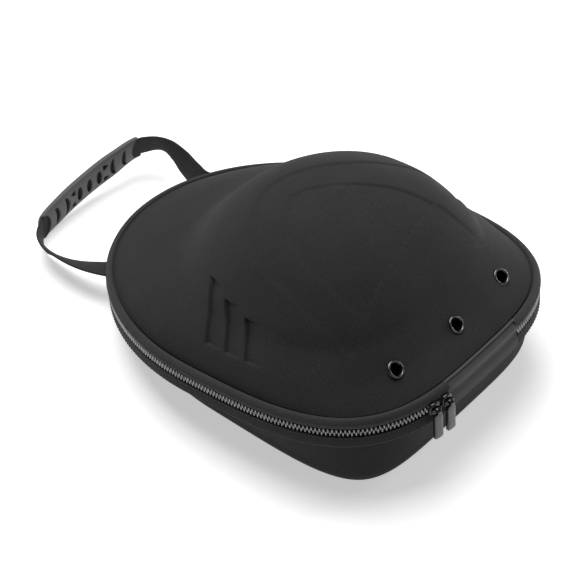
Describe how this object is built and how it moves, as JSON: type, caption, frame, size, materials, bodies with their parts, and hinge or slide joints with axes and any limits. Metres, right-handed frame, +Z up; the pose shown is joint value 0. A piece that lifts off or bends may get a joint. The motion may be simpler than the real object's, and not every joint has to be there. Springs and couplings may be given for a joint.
{
  "type": "baseball cap carrier case",
  "caption": "Moulded hard-shell carrier case for baseball caps: domed lid, wedge base, zip band with fabric hinge, eyelets and webbing handle with grip.",
  "frame": {"origin": "middle of the base's flat underside, the face that the closed case rests on", "axes": "+Z up from the flat underside, +Y towards the handle end, +X to the right as seen from the broad end with the sliders"},
  "size_m": [0.2452, 0.3732, 0.14],
  "materials": {
    "shell_fabric": "brushed knit fabric laminated on moulded foam, charcoal",
    "zip_tape": "woven polyester tape and piping, dark grey",
    "zip_teeth": "satin moulded teeth, dark grey",
    "slider_metal": "gloss black",
    "eyelet_metal": "dark satin",
    "webbing": "ribbed webbing, dark grey",
    "grip_rubber": "matt grey"
  },
  "bodies": {
    "case": {"lid_shell": "shell_fabric", "base_shell": "shell_fabric", "hinge_strip": "shell_fabric", "zip_tape_upper": "zip_tape", "zip_tape_lower": "zip_tape", "zip_chain": "zip_teeth", "slider_1": "slider_metal", "slider_2": "slider_metal", "eyelet_1": "eyelet_metal", "eyelet_2": "eyelet_metal", "eyelet_3": "eyelet_metal", "handle_strap": "webbing", "handle_grip": "grip_rubber"},
    "left_pull": {"pull_1": "slider_metal"},
    "right_pull": {"pull_2": "slider_metal"}
  },
  "joints": [
    {"name": "left_pull_swing", "type": "hinge", "parent": "case", "child": "left_pull", "pos_m": [-0.05287, -0.13887, 0.05998], "axis": [-0.9855, 0.1689, -0.0163], "range_deg": [0, 150]},
    {"name": "right_pull_swing", "type": "hinge", "parent": "case", "child": "right_pull", "pos_m": [-0.0418, -0.14033, 0.06012], "axis": [-0.9952, 0.097, -0.0093], "range_deg": [0, 150]}
  ]
}
